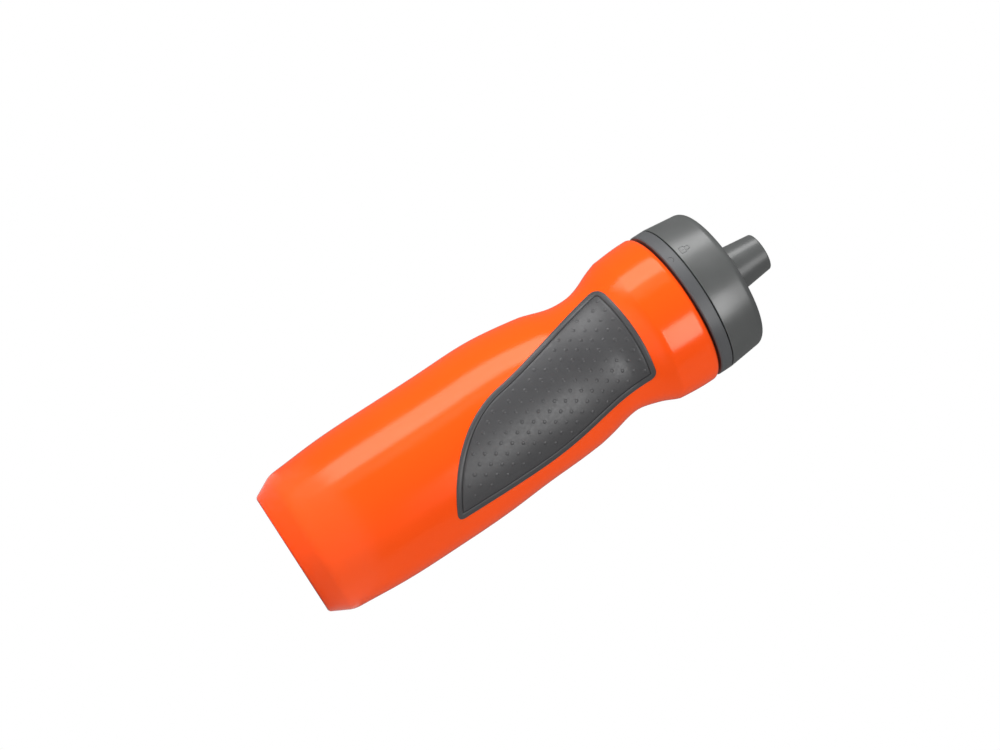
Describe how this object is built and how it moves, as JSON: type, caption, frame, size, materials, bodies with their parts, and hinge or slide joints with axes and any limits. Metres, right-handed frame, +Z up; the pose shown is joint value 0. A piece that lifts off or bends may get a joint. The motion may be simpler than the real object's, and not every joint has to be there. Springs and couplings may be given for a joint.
{
  "type": "squeeze bottle",
  "caption": "Round sports squeeze bottle with a waisted grip, soft rubber pads and a screw-on lid whose tapered spout rises when the cap is twisted.",
  "frame": {"origin": "centre of the flat base, where the bottle stands", "axes": "+Z up the bottle's axis to the spout; -Y towards the front grip pad; +X to the right of it"},
  "size_m": [0.075, 0.0758, 0.2543],
  "materials": {
    "bottle": "glossy blow-moulded polyethylene, orange",
    "grip": "satin soft rubber, dark grey, dotted",
    "band": "satin moulded polypropylene, grey",
    "lid": "satin moulded polypropylene, warm grey",
    "silicone": "milky silicone",
    "natural": "uncoloured polypropylene"
  },
  "bodies": {
    "bottle": {"bottle_body": "bottle", "grip_pad_front": "grip", "grip_pad_rear": "grip"},
    "gasket": {"lid_gasket": "silicone"},
    "lid": {"lid_base": "band", "valve_post": "natural", "post_tip": "silicone"},
    "cap": {"lid_cap": "lid", "cam_ring": "natural"},
    "spout": {"spout": "lid", "spout_seal_ring": "silicone"}
  },
  "joints": [
    {"name": "lid_lift", "type": "slide", "parent": "bottle", "child": "gasket", "axis": [0, 0, 1], "range_m": [0, 0.032]},
    {"name": "lid_turn", "type": "hinge", "parent": "gasket", "child": "lid", "pos_m": [0, 0, 0.2205], "axis": [0, 0, 1], "range_deg": [0, 1440]},
    {"name": "cap_twist", "type": "hinge", "parent": "lid", "child": "cap", "pos_m": [0, 0, 0.2125], "axis": [0, 0, 1], "range_deg": [-90, 0]},
    {"name": "spout_slide", "type": "slide", "parent": "lid", "child": "spout", "axis": [0, 0, 1], "range_m": [-0.01, 0]}
  ],
  "couplings": [
    {"joint": "lid_lift", "follows": "lid_turn", "m_per_rad": 0.0012732},
    {"joint": "spout_slide", "follows": "cap_twist", "m_per_rad": 0.0063662}
  ]
}
